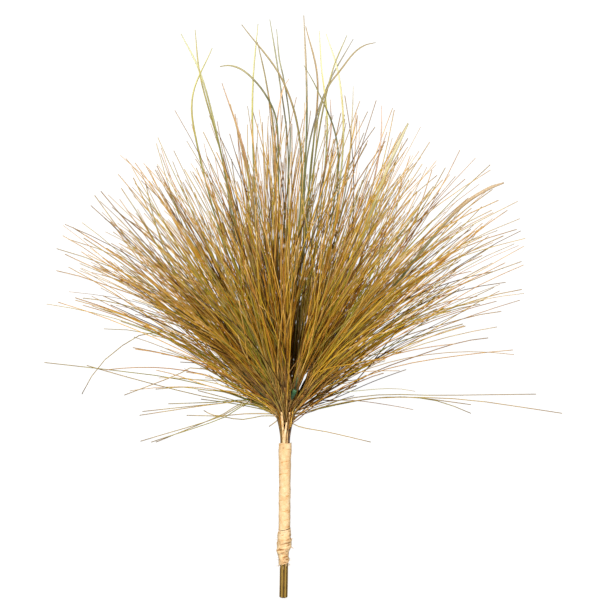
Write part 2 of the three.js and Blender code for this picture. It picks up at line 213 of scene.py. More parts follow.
# ---------------------------------------------------------------- wrapped handle
# A strip of pale raffia ribbon is wound up the handle. Each turn laps over the last one, and its
# edge shows as a thin slanted line.
RIBBON_WIDTH = 13 * MM
RIBBON_PITCH = 8 * MM
RIBBON_THICKNESS = 0.12 * MM
RIBBON_CUTS = 5  # across its width
TURN_STEPS = 28
SHARP_FOLD = 0.7  # radians between two faces, past which their edge shows as a line
WRAP_TOP = 27.6 * MM  # all three measured down from the crown
WRAP_SPLIT = 121 * MM
WRAP_BOTTOM = 159 * MM
WRAP_RADIUS = 6.75 * MM
TIGHTENING = 0.7 * MM
GATHER_PITCH = 7 * MM
GATHER_LAP = 6 * MM  # how far the gathered turns reach up over the even ones
GATHER_START = 2.1  # radians round the handle
DRAWN_IN = 2.7 * MM


def wound_ribbon(bottom, top, pitch, radius_at, lean, start_turn=0.0):
    """A strip swept round the handle in a helix. lean is how far its lower edge stands out."""
    bm = bmesh.new()
    turns = max(1, round((top - bottom - RIBBON_WIDTH) / pitch))
    step_up = (top - bottom - RIBBON_WIDTH) / (turns * TURN_STEPS)
    shares = [i / RIBBON_CUTS for i in range(RIBBON_CUTS + 1)]
    outline = [bm.verts.new((lean * (1 - share), 0, share * RIBBON_WIDTH)) for share in shares]
    outline += [
        bm.verts.new((lean * (1 - share) - RIBBON_THICKNESS, 0, share * RIBBON_WIDTH))
        for share in reversed(shares)
    ]
    face = bm.faces.new(outline)
    bmesh.ops.translate(bm, vec=(WRAP_RADIUS, 0, 0), verts=outline)
    bmesh.ops.spin(
        bm, geom=[face] + list(face.edges) + outline, cent=(0, 0, 0), axis=(0, 0, 1),
        dvec=(0, 0, step_up), angle=turns * 2 * math.pi, steps=turns * TURN_STEPS,
        use_merge=False, use_duplicate=False,
    )
    started = Matrix.Rotation(start_turn, 3, "Z")
    bmesh.ops.rotate(bm, cent=(0, 0, 0), matrix=started, verts=bm.verts)
    for vert in bm.verts:
        height = vert.co.z
        turn = math.atan2(vert.co.y, vert.co.x)
        radius = math.hypot(vert.co.x, vert.co.y) - WRAP_RADIUS
        radius += radius_at(height + bottom, turn)
        vert.co.x = radius * math.cos(turn)
        vert.co.y = radius * math.sin(turn)
        vert.co.z = min(height + bottom, -WRAP_TOP)
    bmesh.ops.recalc_face_normals(bm, faces=bm.faces)
    for edge in bm.edges:
        edge.smooth = edge.calc_face_angle(0) < SHARP_FOLD
    return bm


def creases(height, turn, size, depth):
    """Soft folds that run mostly round the handle, at any height and turn."""
    near = WRAP_RADIUS * 0.5
    place = Vector((near * math.cos(turn), near * math.sin(turn), height))
    return depth * noise.noise(place / size)


def even_radius(height, turn):
    """Wound tighter below its top turns."""
    below_top = -(height + WRAP_TOP) / (WRAP_SPLIT - WRAP_TOP)
    tighter = TIGHTENING * min(1.0, max(0.0, 3 * below_top))
    folds = creases(height, turn, 11 * MM, 0.5 * MM) + creases(height, turn, 3 * MM, 0.3 * MM)
    return WRAP_RADIUS - tighter + folds + creases(height, turn, 1.3 * MM, 0.12 * MM)


def gathered_radius(height, turn):
    """Bunched into folds, drawn in at the bottom, and lying flat on the even turns at the top."""
    share = (height + WRAP_BOTTOM) / (WRAP_BOTTOM - WRAP_SPLIT)
    drawn_in = max(0.0, 1 - share / 0.6) * DRAWN_IN
    bunched = WRAP_RADIUS + 0.3 * MM - drawn_in
    bunched += creases(height, turn, 8 * MM, 1.7 * MM) + creases(height, turn, 3 * MM, 1.5 * MM)
    bunched = max(bunched + creases(height, turn, 1.1 * MM, 0.6 * MM), STEM_RADIUS + 0.5 * MM)
    flat = min(1.0, max(0.0, (share - 0.85) / 0.3))
    return bunched * (1 - flat) + (even_radius(height, turn) + 0.15 * MM) * flat


# Raffia: dried palm leaf, pale straw colour, matt and a little papery, stained every 6 mm, with
# painted shade in brown slanted lines along its creases. Its fibres are finer, but are drawn 1 mm
# apart so that they show.
def raffia_material(name, crease_shade, share, fold_gap, depth):
    """The 2nd argument is the creases' painted shade, share how much they cover, fold_gap mm apart.
    """
    material, shader = new_material(name)
    place = add_node(material, "ShaderNodeTexCoord")
    stretched = add_node(material, "ShaderNodeMapping",
                         Vector=(place, "Object"), Scale=(0.35, 1, 1))
    fibres = add_node(material, "ShaderNodeTexNoise",
                      Vector=(stretched, "Vector"), Scale=spaced(0.909), Detail=3)
    stains = add_node(material, "ShaderNodeTexNoise",
                      Vector=(place, "Object"), Scale=spaced(5.882), Detail=5)
    both = add_node(material, "ShaderNodeMath", {"operation": "MULTIPLY_ADD"},
                    i0=(fibres, "Fac"), i1=0.45, i2=(stains, "Fac"))
    ramp = add_node(material, "ShaderNodeValToRGB", Fac=(both, 0))
    set_ramp(ramp, [(0.42, "#C09563"), (0.6, "#CDA777"), (0.78, "#D6B688"), (0.95, "#E0C79F")])
    slanted = add_node(material, "ShaderNodeMapping", {"vector_type": "TEXTURE"},
                       Vector=(place, "Object"), Rotation=(0, 0, math.radians(14)),
                       Scale=(5, 1, 2.5))
    wrinkles = add_node(material, "ShaderNodeTexNoise",
                        Vector=(slanted, "Vector"), Scale=spaced(fold_gap), Detail=3)
    # Painted shade: the colour is multiplied darker along the slanted creases, faintly on the even
    # turns and in brown on the bunched end
    folds = add_node(material, "ShaderNodeValToRGB", Fac=(wrinkles, "Fac"))
    set_ramp(folds, [(share - 0.1, crease_shade), (share, "#FFFFFF")])
    shaded_in_creases = add_node(material, "ShaderNodeMix", {"data_type": "RGBA", "blend_type": "MULTIPLY"},
                     i0=1.0, i6=(ramp, "Color"), i7=(folds, "Color"))
    coarse = add_node(material, "ShaderNodeBump",
                      Height=(wrinkles, "Fac"), Strength=depth, Distance=0.0012)
    bump = add_node(material, "ShaderNodeBump", Height=(fibres, "Fac"), Strength=0.5,
                    Distance=0.0003, Normal=(coarse, "Normal"))
    connect(material, shader, Base_Color=(shaded_in_creases, 2), Normal=(bump, "Normal"), Roughness=0.85,
            Specular_IOR_Level=0.2)
    return material


raffia = raffia_material("raffia_ribbon", "#E6CCA6", 0.43, 2.381, 0.5)
bunched_raffia = raffia_material("bunched_raffia_ribbon", "#B08A5C", 0.44, 2.083, 1.0)

wrap = wound_ribbon(
    -WRAP_SPLIT - 4 * MM, -WRAP_TOP + 3 * MM, RIBBON_PITCH, even_radius, 0.05 * MM)
bmesh.ops.transform(wrap, matrix=handle_place @ Z_TO_Y, verts=wrap.verts)
make_piece("ribbon_turns", wrap, [raffia], ["handle_wrap"])

# Near the lower end the ribbon was bunched, twisted and drawn in onto the stem to finish it off
gather = wound_ribbon(
    -WRAP_BOTTOM, -WRAP_SPLIT + GATHER_LAP, GATHER_PITCH, gathered_radius, 0.3 * MM, GATHER_START)
bmesh.ops.transform(gather, matrix=handle_place @ Z_TO_Y, verts=gather.verts)
make_piece("ribbon_gathered_end", gather, [bunched_raffia], ["wrap_end"])

# Torn fibres stand off the bunched turns, and a last strip of ribbon runs up among the stems
FRINGE = 34
FRINGE_ZONE = 34 * MM
FIBRE_HALF_WIDTH = 0.22 * MM
TAIL_HALF_WIDTH = 1.7 * MM
TAIL_FLATNESS = 0.18
NEARBY = 0.01  # the share of a curve over which its direction is taken


def bend_along(verts, point_at, half_width, flatness=1.0, roll=0.0):
    """Moves the verts of an upright rod, 1 tall and 1 in radius, onto a curve."""
    for vert in verts:
        t = min(max(vert.co.z, 0.0), 1.0)
        before, after = point_at(max(t - NEARBY, 0)), point_at(min(t + NEARBY, 1))
        along = (after - before).normalized()
        across = along.cross(Vector((0, 0, 1))).normalized()
        over = across.cross(along)
        if roll:
            turn = Matrix.Rotation(roll, 3, along)
            across, over = turn @ across, turn @ over
        width = half_width(t)
        vert.co = (point_at(t) + across * (vert.co.x * width)
                   + over * (vert.co.y * width * flatness))


def straight_rod(sides, cuts):
    """An upright rod, 1 tall and 1 in radius, cut into rings so that it can be bent."""
    bm = bmesh.new()
    bmesh.ops.create_cone(bm, cap_ends=True, segments=sides, radius1=1, radius2=1, depth=1)
    bmesh.ops.translate(bm, vec=(0, 0, 0.5), verts=bm.verts)
    risers = [edge for edge in bm.edges if abs(edge.verts[0].co.z - edge.verts[1].co.z) > 0.5]
    bmesh.ops.subdivide_edges(bm, edges=risers, cuts=cuts, use_grid_fill=True)
    return bm


def bezier(points, t):
    """The point at t on the cubic curve that four control points make."""
    a, b, c, d = points
    u = 1 - t
    return a * u ** 3 + b * (3 * u * u * t) + c * (3 * u * t * t) + d * t ** 3


scratch_mesh = bpy.data.meshes.new("scratch")
fringe_dice = random.Random(7)
fringe = bmesh.new()
for _ in range(FRINGE):
    turn, along = fringe_dice.uniform(0, 2 * math.pi), fringe_dice.random() ** 1.4
    height = -WRAP_BOTTOM + 1 * MM + along * FRINGE_ZONE
    start = Vector((math.cos(turn), 0, math.sin(turn))) * gathered_radius(height, turn)
    start.y = height
    lean = Vector((math.cos(turn), fringe_dice.uniform(-2.5, 0.8), math.sin(turn))).normalized()
    curl = Vector((-math.sin(turn), 0, math.cos(turn))) * fringe_dice.uniform(-2, 2) * MM
    reach = fringe_dice.uniform(2, 5) * MM
    strand = straight_rod(4, 4)
    bend_along(strand.verts, lambda t: start + lean * (reach * t) + curl * (t * t),
               lambda t: FIBRE_HALF_WIDTH * (1 - 0.5 * t), 0.4)
    strand.to_mesh(scratch_mesh)
    strand.free()
    fringe.from_mesh(scratch_mesh)
bmesh.ops.transform(fringe, matrix=handle_place, verts=fringe.verts)
make_piece("ribbon_fringe", fringe, [raffia])

tail_points = ((-0.8, -33, 6.2), (-1.2, -24, 6.6), (0.4, -14, 8), (1.4, -5, 9))
tail_route = [Vector(point) * MM for point in tail_points]
tail = straight_rod(6, 8)
bend_along(tail.verts, lambda t: bezier(tail_route, t),
           lambda t: TAIL_HALF_WIDTH * (1 - 0.4 * t), TAIL_FLATNESS)
bmesh.ops.transform(tail, matrix=handle_place, verts=tail.verts)
make_piece("ribbon_tail", tail, [raffia])

# ---------------------------------------------------------------- branch stems
# Seven thin PVC-covered wires lie round the core inside the wrap and open out above it. Each was
# tinted by itself, from pale tan to dark brown.
BRANCHES = 7
BRANCH_START = 0.25  # the first one's place round the core, as a share of the step to the next
BRANCH_RADIUS = 1.4 * MM
BRANCH_RING = 3.7 * MM
BRANCH_REACH = 12 * MM  # how far from the middle of the crown they end
BRANCH_SPLAY = math.radians(60)
OPENING_BEND = 1.7  # how late they open out


def branch_point(turn):
    """A branch stem's line: straight beside the core in the wrap, then opening to the crown."""
    outwards = BRANCH_REACH * math.sin(BRANCH_SPLAY) - BRANCH_RING
    bottom, top = -SHOULDER + 0.3 * MM, BRANCH_REACH * math.cos(BRANCH_SPLAY)

    def point_at(t):
        y = bottom + (top - bottom) * t
        opened = max(0.0, (y + WRAP_TOP) / (top + WRAP_TOP))
        radius = BRANCH_RING + outwards * opened ** OPENING_BEND
        return handle_place @ Vector((radius * math.cos(turn), y, radius * math.sin(turn)))
    return point_at


def branch_material(index, colour, dark):
    """Satin PVC over wire, its tint in streaks 1.4 mm wide and eight times as long."""
    material, shader = new_material(f"tinted_branch_pvc_{index}")
    place = add_node(material, "ShaderNodeTexCoord")
    streak = add_node(material, "ShaderNodeMapping", Vector=(place, "Object"), Scale=(1, 0.12, 1))
    grain = add_node(material, "ShaderNodeTexNoise",
                     Vector=(streak, "Vector"), Scale=spaced(1.4286), Detail=3)
    ramp = add_node(material, "ShaderNodeValToRGB", Fac=(grain, "Fac"))
    set_ramp(ramp, [(0.35, dark), (0.65, colour)])
    bump = add_node(material, "ShaderNodeBump",
                    Height=(grain, "Fac"), Strength=0.3, Distance=0.0002)
    connect(material, shader, Base_Color=(ramp, "Color"), Normal=(bump, "Normal"), Roughness=0.5)
    return material


BRANCH_TINTS = [
    ("#6E4A22", "#3A2410"), ("#D2AC74", "#8A6434"), ("#EAC792", "#B98F55"), ("#8A6A34", "#46320F"),
    ("#6B4A22", "#2E1C0A"), ("#E3BE86", "#B98F55"), ("#A9802F", "#6E4418"),
]
for index, (colour, dark) in enumerate(BRANCH_TINTS):
    rod = straight_rod(10, 30)
    turn = (index + BRANCH_START) / BRANCHES * 2 * math.pi
    bend_along(rod.verts, branch_point(turn), lambda t: BRANCH_RADIUS)
    bmesh.ops.recalc_face_normals(rod, faces=rod.faces)
    name = f"branch_wire_{index + 1}"
    make_piece(name, rod, [branch_material(index + 1, colour, dark)],
               [f"branch_stem_{index + 1}"])

# ---------------------------------------------------------------- blade tufts
# Each tuft is a thin stalk and a small sheath that hold a spray of extruded PVC blades, 0.8 to
# 1.3 mm wide and cut off bluntly. Together they make a dense fan. Blades leave the stalk at
# different places, cross their neighbours and sag a little towards their tips.
STALK_START = 14 * MM  # from the middle of the crown, as all reaches are
SHEATH_END = 44.9 * MM
SHEATH_WIDTHS = [(0, 0.8), (0.4, 0.8), (0.6, 1.2), (0.85, 1.8), (1, 1.4)]  # share along, mm
GREEN_TUFTS = (11, 29)
GREEN_SIZE = 1.5  # the green sheaths are that much wider
TWIGS_PER_TUFT = 4
TWIG_LENGTHS = (50, 125)
TWIG_HALF_WIDTH = 0.6 * MM
FEWEST_BLADES = 9
MOST_BLADES = 84
BLADE_HALF_WIDTHS = (0.4, 0.64)
BLADE_FLATNESS = 0.6
SHORTEST_BLADE = 55 * MM
LONGEST_REACH = 350 * MM
HIGHEST_TIP = 250 * MM
WIDEST_TIP = 240 * MM
OUTWARD_BEND = 0.2
TABLE_GAP = 0.5 * MM
LAYERS = [
    # tufts, spread, seat, climb, lift, as in the CAD: degrees but for the first
    (9, 66, -17, -7, 5),
    (9, 60, 7, 9, 8),
    (7, 52, 28, 24, 9),
    (5, 40, 48, 40, 9),
]
GAPS = [
    # Where blades part and show what lies below: two ends in mm, half width, lowest climb
    ((8, 58), (13, 104), 3.4, 10),
    ((16, 30), (22, 43), 1.6, -90),
    ((-34, 28), (-30, 35), 1.6, 8),
]
# How far blades reach from the crown, as seen from above: share of the blades, and mm
REACHES = [(0, 90), (0.3, 168), (0.54, 221), (0.72, 258), (0.87, 292), (0.96, 318), (1, 340)]
# How thickly the fan is planted at each heading, left and right alike
PLANTING = [(0, 1), (40, 0.95), (47, 0.62), (54, 0.32), (60, 0.14), (66, 0.06), (76, 0.02), (95, 0)]
dice = random.Random(24)


def rod_shape(name, sides, cuts):
    """The mesh of a rod, to be copied into every tuft."""
    bm = straight_rod(sides, cuts)
    bmesh.ops.recalc_face_normals(bm, faces=bm.faces)
    mesh = bpy.data.meshes.new(name)
    bm.to_mesh(mesh)
    bm.free()
    return mesh


blade_mesh = rod_shape("blade_shape", 3, 9)
sheath_mesh = rod_shape("sheath_shape", 8, 5)
twig_mesh = rod_shape("twig_shape", 5, 1)


def direction_to(heading, climb):
    """Unit vector that points heading degrees right of +Y and climb degrees up."""
    level = math.cos(math.radians(climb))
    return Vector((
        math.sin(math.radians(heading)) * level,
        math.cos(math.radians(heading)) * level,
        math.sin(math.radians(climb)),
    ))


def read_off(table, value):
    """Straight-line reading of a table of (place, value) pairs."""
    for (a, low), (b, high) in zip(table, table[1:]):
        if value <= b:
            return low + (high - low) * (value - a) / (b - a)
    return table[-1][1]


def above_table(point, height=TABLE_GAP):
    """Lays whatever would go through the table onto it, without a kink."""
    over = point.z - height
    point.z = max(height, height + (over + math.hypot(over, 3 * MM)) / 2 - 0.4 * MM)
    return point


def blade_path(root, heading, climb, length, sag, sway, ripple, table=TABLE_GAP):
    """An arc from root in one direction. It opens outwards, sags, sways and ripples a little."""
    outwards = direction_to(heading, climb)
    aside = direction_to(heading + 90, 0)
    opening = OUTWARD_BEND * length * heading / 60
    depth, phase, waves = ripple

    def point_at(t):
        wander = opening * t * (t - 0.5) + sway * length * t * (1.7 * t - 0.7)
        wander += depth * (math.sin(waves * t + phase) - math.sin(phase) * (1 - t))
        point = root + outwards * (length * t) + aside * wander
        point.z -= sag * t * t
        return above_table(point, table)
    return point_at


def add_blade(bm, point_at, half_width, roll, shade):
    """Copies the blade shape into a tuft and bends it along its path."""
    first = len(bm.verts)
    bm.from_mesh(blade_mesh)
    bm.verts.ensure_lookup_table()
    verts = bm.verts[first:]
    for vert in verts:
        vert[bm.verts.layers.float["shade"]] = shade
        vert[bm.verts.layers.float["along"]] = vert.co.z
    bend_along(verts, point_at, lambda t: half_width * (1 - 0.1 * t), BLADE_FLATNESS, roll)


def new_tuft():
    """An empty bmesh whose verts carry their blade's tint and their place along it."""
    bm = bmesh.new()
    bm.verts.layers.float.new("shade")
    bm.verts.layers.float.new("along")
    return bm


def add_rod(bm, mesh, start, end, width):
    """Copies a rod into a tuft between two points, with the second material."""
    first, first_face = len(bm.verts), len(bm.faces)
    bm.from_mesh(mesh)
    bm.verts.ensure_lookup_table()
    bm.faces.ensure_lookup_table()
    bend_along(bm.verts[first:], lambda t: start.lerp(end, t), width)
    for face in bm.faces[first_face:]:
        face.material_index = 1


def in_a_gap(path, climb):
    """Whether a blade of a layer with this climb would cover one of the gaps."""
    for step in range(1, 40):
        point = path(step / 60) - crown
        for (x0, y0), (x1, y1), half, lowest in GAPS:
            share = (point.y / MM - y0) / (y1 - y0)
            off_line = abs(point.x / MM - x0 - (x1 - x0) * share)
            if climb > lowest and 0 < share < 1 and off_line < half:
                return True
    return False


def grow_twigs(bm, heading, seat, climb, opening, lift):
    """Twigs that fan out of a tuft's sheath, as their two ends and heading."""
    twigs = []
    for _ in range(TWIGS_PER_TUFT):
        twig_heading = heading + dice.gauss(0, 0.75) * opening
        twig_climb = (seat + 2 * climb) / 3 + dice.gauss(0, 0.6) * lift
        twig_length = dice.uniform(*TWIG_LENGTHS) * MM * (1 if abs(heading) < 45 else 0.7)
        start = crown + direction_to(heading, seat) * (SHEATH_END - 3 * MM)
        end = above_table(crown + direction_to(twig_heading, twig_climb) * twig_length, 2 * MM)
        add_rod(bm, twig_mesh, start, end, lambda t: TWIG_HALF_WIDTH)
        twigs.append((start, end, twig_heading))
    return twigs


def loosened(heading, climb):
    """A blade's heading near its twig's. Some stray, and most of all those on top of the fan."""
    loose = 2.2 if dice.random() < 0.35 else 1.0
    if climb > 20 and dice.random() < 0.1:
        loose = 4.5
    return heading + dice.gauss(0, 7.5) * loose


def blade_foot(axis, start, end):
    """Where a blade starts, on the stalk or a twig, and how far that is from the crown."""
    if dice.random() < 0.5:
        foot = dice.uniform(-12, 42) * MM
        middle = crown + (axis if foot > 0 else Vector((0, 1, 0))) * foot
    else:
        middle = start.lerp(end, dice.random())
        foot = (middle - crown).length
    turn, away = dice.uniform(0, 2 * math.pi), dice.uniform(0.2, 1) * 3 * MM
    return middle + Vector((math.cos(turn), 0, math.sin(turn))) * away, foot


def blade_length(heading, climb, root, foot):
    """Blades are shorter at the edges of the fan, and end below the highest tip."""
    edge = 1 - 0.1 * (heading / 60) ** 2 - 0.012 * max(0, abs(heading) - 58)
    edge += 0.0012 * heading
    reach = read_off(REACHES, dice.random()) * MM * edge
    length = min(reach / math.cos(math.radians(climb)), LONGEST_REACH) - foot
    if climb > 0:
        ceiling = HIGHEST_TIP * dice.uniform(0.84, 1) - root.z
        length = min(length, ceiling / math.sin(math.radians(climb)))
    return max(length, SHORTEST_BLADE)


def blade_tuft(heading, seat, climb, opening, lift, green):
    """A tuft seated along heading and seat, with blades that climb and open round that."""
    bm = new_tuft()
    axis = direction_to(heading, seat)
    size = GREEN_SIZE if green else 1
    widths = [(along, width * (size if along > 0.5 else 1)) for along, width in SHEATH_WIDTHS]
    add_rod(bm, sheath_mesh, crown + axis * STALK_START, crown + axis * SHEATH_END,
            lambda t: read_off(widths, t) * MM)
    family = dice.gauss(0, 0.16)
    twigs = grow_twigs(bm, heading, seat, climb, opening, lift)
    planted = 0
    for tried in range(MOST_BLADES):
        start, end, twig_heading = dice.choice(twigs)
        blade_heading = loosened(twig_heading, climb)
        kept = dice.random() < read_off(PLANTING, abs(blade_heading))
        if not kept and (planted >= FEWEST_BLADES or tried < MOST_BLADES - FEWEST_BLADES):
            continue
        if not kept:
            blade_heading = heading * dice.uniform(0.8, 1)
        planted += 1
        root, foot = blade_foot(axis, start, end)
        blade_climb = climb + dice.gauss(0, 0.8) * lift
        length = blade_length(blade_heading, blade_climb, root, foot)
        bends = dict(
            sag=dice.uniform(4, 20) * MM, sway=dice.gauss(0, 0.075),
            ripple=(dice.uniform(0.3, 1.8) * MM, dice.uniform(0, 6.3), dice.uniform(4, 12)),
            table=TABLE_GAP + dice.uniform(0, 6) * MM,
        )
        path = blade_path(root, blade_heading, blade_climb, length, **bends)
        sideways = abs(path(1).x - crown.x)
        if sideways > WIDEST_TIP:
            length *= WIDEST_TIP / sideways
            path = blade_path(root, blade_heading, blade_climb, length, **bends)
        if in_a_gap(path, climb):
            continue
        shade = min(max(dice.random() + family, 0), 1)
        half_width = dice.uniform(*BLADE_HALF_WIDTHS) * MM
        add_blade(bm, path, half_width, dice.uniform(-0.9, 0.9), shade)
    return bm


# Extruded PVC grass: every blade has its own tint, from brown through gold to olive, with painted
# light making it paler at its foot, where the crown lies in shade, and turning pinkish tan at the
# tip, with faint patches 17 mm across and hardly any gloss
grass, shader = new_material("extruded_pvc_grass")
shades = add_node(grass, "ShaderNodeAttribute", {"attribute_name": "shade"})
along = add_node(grass, "ShaderNodeAttribute", {"attribute_name": "along"})
ramp = add_node(grass, "ShaderNodeValToRGB", Fac=(shades, "Fac"))
set_ramp(ramp, [
    (0.0, "#3E260A"), (0.1, "#704810"), (0.24, "#B87E1C"), (0.4, "#DCAC34"), (0.55, "#C4A630"),
    (0.7, "#8C8C2C"), (0.8, "#C2842E"), (0.9, "#ECBE5C"), (1.0, "#A8944C"),
])
place = add_node(grass, "ShaderNodeTexCoord")
patches = add_node(grass, "ShaderNodeTexNoise",
                   Vector=(place, "Object"), Scale=spaced(16.667), Detail=3)
towards_tip = add_node(grass, "ShaderNodeMath", {"operation": "POWER"},
                       i0=(along, "Fac"), i1=5.5)
tip_share = add_node(grass, "ShaderNodeMath", {"operation": "MULTIPLY"},
                     i0=(towards_tip, 0), i1=0.75)
tipped = add_node(grass, "ShaderNodeMix", {"data_type": "RGBA"},
                  i0=(tip_share, 0), i6=(ramp, "Color"), i7=linear_colour("#B89C74"))
# Painted light: the colour blends towards pale tan over the lowest 0.22 of each blade's length,
# lifting the shade round the crown
painted_foot_light = add_node(grass, "ShaderNodeMapRange", Value=(along, "Fac"), From_Max=0.22,
                  To_Min=0.75, To_Max=0.0)
with_foot_light = add_node(grass, "ShaderNodeMix", {"data_type": "RGBA"},
                  i0=(painted_foot_light, 0), i6=(tipped, 2), i7=linear_colour("#DDB478"))
mottle = add_node(grass, "ShaderNodeValToRGB", Fac=(patches, "Fac"))
set_ramp(mottle, [(0.3, "#D2AE78"), (0.6, "#FFFFFF")])
coloured = add_node(grass, "ShaderNodeMix", {"data_type": "RGBA", "blend_type": "MULTIPLY"},
                    i0=0.6, i6=(with_foot_light, 2), i7=(mottle, "Color"))
connect(grass, shader, Base_Color=(coloured, 2), Roughness=0.6, Specular_IOR_Level=0.1)


# Moulded polyethylene: smooth and slightly waxy, clouded every 3 mm, most sheaths brown and a few
# green
def sheath_material(name, dark, light):
    material, shader = new_material(name)
    place = add_node(material, "ShaderNodeTexCoord")
    cloud = add_node(material, "ShaderNodeTexNoise",
                     Vector=(place, "Object"), Scale=spaced(3.333), Detail=3)
    ramp = add_node(material, "ShaderNodeValToRGB", Fac=(cloud, "Fac"))
    set_ramp(ramp, [(0.35, dark), (0.65, light)])
    connect(material, shader, Base_Color=(ramp, "Color"), Roughness=0.45)
    return material


sheath_green = sheath_material("moulded_green_sheath", "#24402A", "#36623A")
sheath_brown = sheath_material("moulded_brown_sheath", "#6A4414", "#96691F")

tuft_number = 0
for tufts, spread, seat, climb, lift in LAYERS:
    step = 2 * spread / (tufts - 1)
    for i in range(tufts):
        tuft_number += 1
        green = tuft_number in GREEN_TUFTS
        tuft = blade_tuft(-spread + i * step, seat, climb, step / 2, lift, green)
        make_piece(f"grass_tuft_{tuft_number:02d}", tuft,
                   [grass, sheath_green if green else sheath_brown],
                   [f"tuft_{tuft_number:02d}"])

# ---------------------------------------------------------------- long leaves
# Long narrow leaves of thin moulded plastic stand up past the fan. They are creased along the
# middle, and their tints run from pale yellow to dark olive.
LEAF_START = 17 * MM  # from the middle of the crown
LEAF_STRAIGHT = 51 * MM  # a leaf runs straight from its foot to there
LEAF_THICKNESS = 0.35 * MM
LEAF_CREASE = 0.25  # share of the half width
LEAF_CUTS = 36


def smooth_route(points):
    """A curve through the points, spaced by their distances, as a function of 0 to 1."""
    ends = [points[0] * 2 - points[1], *points, points[-1] * 2 - points[-2]]
    knots = [0.0]
    for before, after in zip(ends, ends[1:]):
        knots.append(knots[-1] + math.sqrt((after - before).length))

    def point_at(t):
        at = knots[1] + (knots[-2] - knots[1]) * t
        i = 1
        while i < len(knots) - 3 and at > knots[i + 1]:
            i += 1
        k, p = knots[i - 1:i + 3], ends[i - 1:i + 3]

        def between(a, b, low, high):
            return a + (b - a) * ((at - low) / (high - low))
        a = [between(p[n], p[n + 1], k[n], k[n + 1]) for n in range(3)]
        b = [between(a[n], a[n + 1], k[n], k[n + 2]) for n in range(2)]
        return between(b[0], b[1], k[1], k[2])
    return point_at


def route_from(feet, route):
    """A curve through its feet, then through across, along and height from the crown in mm."""
    passed = [Vector((crown.x + x * MM, crown.y + y * MM, max(z, 0.6) * MM)) for x, y, z in route]
    return smooth_route(feet + passed)


def leaf_route(heading, climb, route):
    """A leaf's curve, which leaves the crown in the direction given."""
    outwards = direction_to(heading, climb)
    return route_from([crown + outwards * LEAF_START, crown + outwards * LEAF_STRAIGHT], route)


def leaf_blade(point_at, half_width, twist):
    """A strip with a crease down the middle, bent along its route and given a thickness."""
    bm = bmesh.new()
    bmesh.ops.create_grid(bm, x_segments=2, y_segments=LEAF_CUTS, size=0.5)
    along = bm.verts.layers.float.new("along")
    for vert in bm.verts:
        t = vert.co.y + 0.5
        side = vert.co.x * 2
        vert[along] = t
        before, after = point_at(max(t - NEARBY, 0)), point_at(min(t + NEARBY, 1))
        forward = (after - before).normalized()
        across = forward.cross(Vector((0, 0, 1))).normalized()
        turn = Matrix.Rotation(twist * math.sin(5 * t), 3, forward)
        across = turn @ across
        over = across.cross(forward)
        # Narrow at its foot, full width two thirds up, and narrowing again over the last tenth
        width = half_width * min(1.0, 0.4 + 0.9 * t, 0.45 + 5 * (1 - t))
        crease = LEAF_CREASE * width * (1 - abs(side))
        vert.co = point_at(t) + across * (side * width) + over * crease
    bmesh.ops.solidify(bm, geom=bm.faces[:], thickness=LEAF_THICKNESS)
    bmesh.ops.recalc_face_normals(bm, faces=bm.faces)
    return bm


def leaf_material(name, colour, tip):
    """Thin moulded PVC: satin, olive half way up, its own tint at the tip, clouded every 8 mm."""
    material, shader = new_material(name)
    along = add_node(material, "ShaderNodeAttribute", {"attribute_name": "along"})
    place = add_node(material, "ShaderNodeTexCoord")
    clouds = add_node(material, "ShaderNodeTexNoise",
                      Vector=(place, "Object"), Scale=spaced(8.333), Detail=3)
    drift = add_node(material, "ShaderNodeMath", {"operation": "MULTIPLY_ADD"},
                     i0=(clouds, "Fac"), i1=0.3, i2=(along, "Fac"))
    ramp = add_node(material, "ShaderNodeValToRGB", Fac=(drift, 0))
    set_ramp(ramp, [(0.25, "#7A642C"), (0.6, "#62622C"), (0.85, colour), (1.0, tip)])
    connect(material, shader, Base_Color=(ramp, "Color"), Roughness=0.5)
    return material


